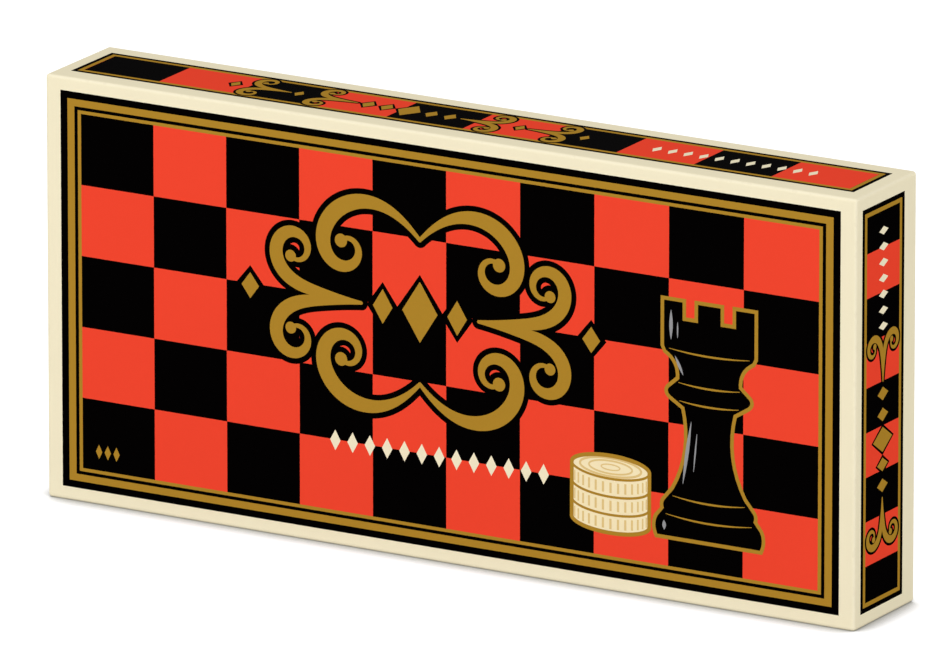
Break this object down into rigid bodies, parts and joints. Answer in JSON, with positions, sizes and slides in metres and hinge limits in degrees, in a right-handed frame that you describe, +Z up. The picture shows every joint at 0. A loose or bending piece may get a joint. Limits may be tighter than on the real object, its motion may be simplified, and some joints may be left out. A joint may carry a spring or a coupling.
{
  "type": "chess and checkers set",
  "caption": "Boxed chess and checkers set: lift-off lid with checked print, partitioned base, folding board, turned chessmen and stacked checkers.",
  "frame": {"origin": "on the floor under the middle of the closed box, which stands on a long edge", "axes": "+X along the box's length, +Y from its front panel to its back, +Z up"},
  "size_m": [0.4, 0.052, 0.19],
  "materials": {
    "printed_paper": "coated art paper, red and black checks in an ivory border",
    "plain_paper": "ivory paper, satin",
    "greyboard": "raw recycled greyboard, matt",
    "board_cover": "black embossed cover paper, matt",
    "board_print": "coated print, satin",
    "leaflet_paper": "uncoated paper, matt",
    "ivory_plastic": "moulded plastic, gloss",
    "black_plastic": "moulded plastic, gloss"
  },
  "bodies": {
    "base": {"base_board": "greyboard", "base_wrap": "plain_paper", "partition_shelf": "greyboard", "partition_divider_1": "greyboard", "partition_divider_2": "greyboard", "pawn_shelf_lower": "greyboard", "pawn_shelf_upper": "greyboard"},
    "lid": {"lid_board": "greyboard", "lid_wrap": "printed_paper"},
    "board_back": {"board_leaf_back": "board_cover", "board_print_back": "board_print", "board_crease": "board_print"},
    "board_front": {"board_leaf_front": "board_cover", "board_print_front": "board_print"},
    "leaflet": {"rules_leaflet": "leaflet_paper"},
    "black_rook_left": {"black_rook_left": "black_plastic"},
    "black_knight_left": {"black_knight_left": "black_plastic"},
    "black_bishop_left": {"black_bishop_left": "black_plastic"},
    "black_queen": {"black_queen": "black_plastic"},
    "black_king": {"black_king": "black_plastic"},
    "black_bishop_right": {"black_bishop_right": "black_plastic"},
    "black_knight_right": {"black_knight_right": "black_plastic"},
    "black_rook_right": {"black_rook_right": "black_plastic"},
    "black_pawn_1": {"black_pawn_1": "black_plastic"},
    "black_pawn_2": {"black_pawn_2": "black_plastic"},
    "black_pawn_3": {"black_pawn_3": "black_plastic"},
    "black_pawn_4": {"black_pawn_4": "black_plastic"},
    "black_pawn_5": {"black_pawn_5": "black_plastic"},
    "black_pawn_6": {"black_pawn_6": "black_plastic"},
    "black_pawn_7": {"black_pawn_7": "black_plastic"},
    "black_pawn_8": {"black_pawn_8": "black_plastic"},
    "black_checkers_lower": {"black_checkers_lower": "black_plastic"},
    "black_checkers_upper": {"black_checkers_upper": "black_plastic"},
    "ivory_rook_left": {"ivory_rook_left": "ivory_plastic"},
    "ivory_knight_left": {"ivory_knight_left": "ivory_plastic"},
    "ivory_bishop_left": {"ivory_bishop_left": "ivory_plastic"},
    "ivory_queen": {"ivory_queen": "ivory_plastic"},
    "ivory_king": {"ivory_king": "ivory_plastic"},
    "ivory_bishop_right": {"ivory_bishop_right": "ivory_plastic"},
    "ivory_knight_right": {"ivory_knight_right": "ivory_plastic"},
    "ivory_rook_right": {"ivory_rook_right": "ivory_plastic"},
    "ivory_pawn_1": {"ivory_pawn_1": "ivory_plastic"},
    "ivory_pawn_2": {"ivory_pawn_2": "ivory_plastic"},
    "ivory_pawn_3": {"ivory_pawn_3": "ivory_plastic"},
    "ivory_pawn_4": {"ivory_pawn_4": "ivory_plastic"},
    "ivory_pawn_5": {"ivory_pawn_5": "ivory_plastic"},
    "ivory_pawn_6": {"ivory_pawn_6": "ivory_plastic"},
    "ivory_pawn_7": {"ivory_pawn_7": "ivory_plastic"},
    "ivory_pawn_8": {"ivory_pawn_8": "ivory_plastic"},
    "ivory_checkers_lower": {"ivory_checkers_lower": "ivory_plastic"},
    "ivory_checkers_upper": {"ivory_checkers_upper": "ivory_plastic"}
  },
  "joints": [
    {"name": "lid_lift", "type": "slide", "parent": "base", "child": "lid", "axis": [0, -1, 0], "range_m": [0, 0.82]},
    {"name": "board_lift", "type": "slide", "parent": "base", "child": "board_back", "axis": [0, -1, 0], "range_m": [0, 0.24]},
    {"name": "board_unfold", "type": "hinge", "parent": "board_back", "child": "board_front", "pos_m": [0, -0.02055, 0.1845], "axis": [-1, 0, 0], "range_deg": [0, 180], "deforming": ["board_crease"]},
    {"name": "leaflet_lift", "type": "slide", "parent": "base", "child": "leaflet", "axis": [0, -1, 0], "range_m": [0, 0.18]},
    {"name": "black_rook_left_lift", "type": "slide", "parent": "base", "child": "black_rook_left", "axis": [0, -1, 0], "range_m": [0, 0.11]},
    {"name": "black_knight_left_lift", "type": "slide", "parent": "base", "child": "black_knight_left", "axis": [0, -1, 0], "range_m": [0, 0.11]},
    {"name": "black_bishop_left_lift", "type": "slide", "parent": "base", "child": "black_bishop_left", "axis": [0, -1, 0], "range_m": [0, 0.11]},
    {"name": "black_queen_lift", "type": "slide", "parent": "base", "child": "black_queen", "axis": [0, -1, 0], "range_m": [0, 0.11]},
    {"name": "black_king_lift", "type": "slide", "parent": "base", "child": "black_king", "axis": [0, -1, 0], "range_m": [0, 0.11]},
    {"name": "black_bishop_right_lift", "type": "slide", "parent": "base", "child": "black_bishop_right", "axis": [0, -1, 0], "range_m": [0, 0.11]},
    {"name": "black_knight_right_lift", "type": "slide", "parent": "base", "child": "black_knight_right", "axis": [0, -1, 0], "range_m": [0, 0.11]},
    {"name": "black_rook_right_lift", "type": "slide", "parent": "base", "child": "black_rook_right", "axis": [0, -1, 0], "range_m": [0, 0.11]},
    {"name": "black_pawn_1_lift", "type": "slide", "parent": "base", "child": "black_pawn_1", "axis": [0, -1, 0], "range_m": [0, 0.11]},
    {"name": "black_pawn_2_lift", "type": "slide", "parent": "base", "child": "black_pawn_2", "axis": [0, -1, 0], "range_m": [0, 0.11]},
    {"name": "black_pawn_3_lift", "type": "slide", "parent": "base", "child": "black_pawn_3", "axis": [0, -1, 0], "range_m": [0, 0.11]},
    {"name": "black_pawn_4_lift", "type": "slide", "parent": "base", "child": "black_pawn_4", "axis": [0, -1, 0], "range_m": [0, 0.11]},
    {"name": "black_pawn_5_lift", "type": "slide", "parent": "base", "child": "black_pawn_5", "axis": [0, -1, 0], "range_m": [0, 0.11]},
    {"name": "black_pawn_6_lift", "type": "slide", "parent": "base", "child": "black_pawn_6", "axis": [0, -1, 0], "range_m": [0, 0.11]},
    {"name": "black_pawn_7_lift", "type": "slide", "parent": "base", "child": "black_pawn_7", "axis": [0, -1, 0], "range_m": [0, 0.11]},
    {"name": "black_pawn_8_lift", "type": "slide", "parent": "base", "child": "black_pawn_8", "axis": [0, -1, 0], "range_m": [0, 0.11]},
    {"name": "black_checkers_lower_lift", "type": "slide", "parent": "base", "child": "black_checkers_lower", "axis": [0, -1, 0], "range_m": [0, 0.11]},
    {"name": "black_checkers_upper_lift", "type": "slide", "parent": "base", "child": "black_checkers_upper", "axis": [0, -1, 0], "range_m": [0, 0.11]},
    {"name": "ivory_rook_left_lift", "type": "slide", "parent": "base", "child": "ivory_rook_left", "axis": [0, -1, 0], "range_m": [0, 0.11]},
    {"name": "ivory_knight_left_lift", "type": "slide", "parent": "base", "child": "ivory_knight_left", "axis": [0, -1, 0], "range_m": [0, 0.11]},
    {"name": "ivory_bishop_left_lift", "type": "slide", "parent": "base", "child": "ivory_bishop_left", "axis": [0, -1, 0], "range_m": [0, 0.11]},
    {"name": "ivory_queen_lift", "type": "slide", "parent": "base", "child": "ivory_queen", "axis": [0, -1, 0], "range_m": [0, 0.11]},
    {"name": "ivory_king_lift", "type": "slide", "parent": "base", "child": "ivory_king", "axis": [0, -1, 0], "range_m": [0, 0.11]},
    {"name": "ivory_bishop_right_lift", "type": "slide", "parent": "base", "child": "ivory_bishop_right", "axis": [0, -1, 0], "range_m": [0, 0.11]},
    {"name": "ivory_knight_right_lift", "type": "slide", "parent": "base", "child": "ivory_knight_right", "axis": [0, -1, 0], "range_m": [0, 0.11]},
    {"name": "ivory_rook_right_lift", "type": "slide", "parent": "base", "child": "ivory_rook_right", "axis": [0, -1, 0], "range_m": [0, 0.11]},
    {"name": "ivory_pawn_1_lift", "type": "slide", "parent": "base", "child": "ivory_pawn_1", "axis": [0, -1, 0], "range_m": [0, 0.11]},
    {"name": "ivory_pawn_2_lift", "type": "slide", "parent": "base", "child": "ivory_pawn_2", "axis": [0, -1, 0], "range_m": [0, 0.11]},
    {"name": "ivory_pawn_3_lift", "type": "slide", "parent": "base", "child": "ivory_pawn_3", "axis": [0, -1, 0], "range_m": [0, 0.11]},
    {"name": "ivory_pawn_4_lift", "type": "slide", "parent": "base", "child": "ivory_pawn_4", "axis": [0, -1, 0], "range_m": [0, 0.11]},
    {"name": "ivory_pawn_5_lift", "type": "slide", "parent": "base", "child": "ivory_pawn_5", "axis": [0, -1, 0], "range_m": [0, 0.11]},
    {"name": "ivory_pawn_6_lift", "type": "slide", "parent": "base", "child": "ivory_pawn_6", "axis": [0, -1, 0], "range_m": [0, 0.11]},
    {"name": "ivory_pawn_7_lift", "type": "slide", "parent": "base", "child": "ivory_pawn_7", "axis": [0, -1, 0], "range_m": [0, 0.11]},
    {"name": "ivory_pawn_8_lift", "type": "slide", "parent": "base", "child": "ivory_pawn_8", "axis": [0, -1, 0], "range_m": [0, 0.11]},
    {"name": "ivory_checkers_lower_lift", "type": "slide", "parent": "base", "child": "ivory_checkers_lower", "axis": [0, -1, 0], "range_m": [0, 0.11]},
    {"name": "ivory_checkers_upper_lift", "type": "slide", "parent": "base", "child": "ivory_checkers_upper", "axis": [0, -1, 0], "range_m": [0, 0.11]}
  ],
  "couplings": [
    {"joint": "board_lift", "follows": "lid_lift", "ratio": 0.29268},
    {"joint": "board_unfold", "follows": "lid_lift", "rad_per_m": 3.8312},
    {"joint": "leaflet_lift", "follows": "lid_lift", "ratio": 0.21951},
    {"joint": "black_rook_left_lift", "follows": "lid_lift", "ratio": 0.13415},
    {"joint": "black_knight_left_lift", "follows": "lid_lift", "ratio": 0.13415},
    {"joint": "black_bishop_left_lift", "follows": "lid_lift", "ratio": 0.13415},
    {"joint": "black_queen_lift", "follows": "lid_lift", "ratio": 0.13415},
    {"joint": "black_king_lift", "follows": "lid_lift", "ratio": 0.13415},
    {"joint": "black_bishop_right_lift", "follows": "lid_lift", "ratio": 0.13415},
    {"joint": "black_knight_right_lift", "follows": "lid_lift", "ratio": 0.13415},
    {"joint": "black_rook_right_lift", "follows": "lid_lift", "ratio": 0.13415},
    {"joint": "black_pawn_1_lift", "follows": "lid_lift", "ratio": 0.13415},
    {"joint": "black_pawn_2_lift", "follows": "lid_lift", "ratio": 0.13415},
    {"joint": "black_pawn_3_lift", "follows": "lid_lift", "ratio": 0.13415},
    {"joint": "black_pawn_4_lift", "follows": "lid_lift", "ratio": 0.13415},
    {"joint": "black_pawn_5_lift", "follows": "lid_lift", "ratio": 0.13415},
    {"joint": "black_pawn_6_lift", "follows": "lid_lift", "ratio": 0.13415},
    {"joint": "black_pawn_7_lift", "follows": "lid_lift", "ratio": 0.13415},
    {"joint": "black_pawn_8_lift", "follows": "lid_lift", "ratio": 0.13415},
    {"joint": "black_checkers_lower_lift", "follows": "lid_lift", "ratio": 0.13415},
    {"joint": "black_checkers_upper_lift", "follows": "lid_lift", "ratio": 0.13415},
    {"joint": "ivory_rook_left_lift", "follows": "lid_lift", "ratio": 0.13415},
    {"joint": "ivory_knight_left_lift", "follows": "lid_lift", "ratio": 0.13415},
    {"joint": "ivory_bishop_left_lift", "follows": "lid_lift", "ratio": 0.13415},
    {"joint": "ivory_queen_lift", "follows": "lid_lift", "ratio": 0.13415},
    {"joint": "ivory_king_lift", "follows": "lid_lift", "ratio": 0.13415},
    {"joint": "ivory_bishop_right_lift", "follows": "lid_lift", "ratio": 0.13415},
    {"joint": "ivory_knight_right_lift", "follows": "lid_lift", "ratio": 0.13415},
    {"joint": "ivory_rook_right_lift", "follows": "lid_lift", "ratio": 0.13415},
    {"joint": "ivory_pawn_1_lift", "follows": "lid_lift", "ratio": 0.13415},
    {"joint": "ivory_pawn_2_lift", "follows": "lid_lift", "ratio": 0.13415},
    {"joint": "ivory_pawn_3_lift", "follows": "lid_lift", "ratio": 0.13415},
    {"joint": "ivory_pawn_4_lift", "follows": "lid_lift", "ratio": 0.13415},
    {"joint": "ivory_pawn_5_lift", "follows": "lid_lift", "ratio": 0.13415},
    {"joint": "ivory_pawn_6_lift", "follows": "lid_lift", "ratio": 0.13415},
    {"joint": "ivory_pawn_7_lift", "follows": "lid_lift", "ratio": 0.13415},
    {"joint": "ivory_pawn_8_lift", "follows": "lid_lift", "ratio": 0.13415},
    {"joint": "ivory_checkers_lower_lift", "follows": "lid_lift", "ratio": 0.13415},
    {"joint": "ivory_checkers_upper_lift", "follows": "lid_lift", "ratio": 0.13415}
  ]
}
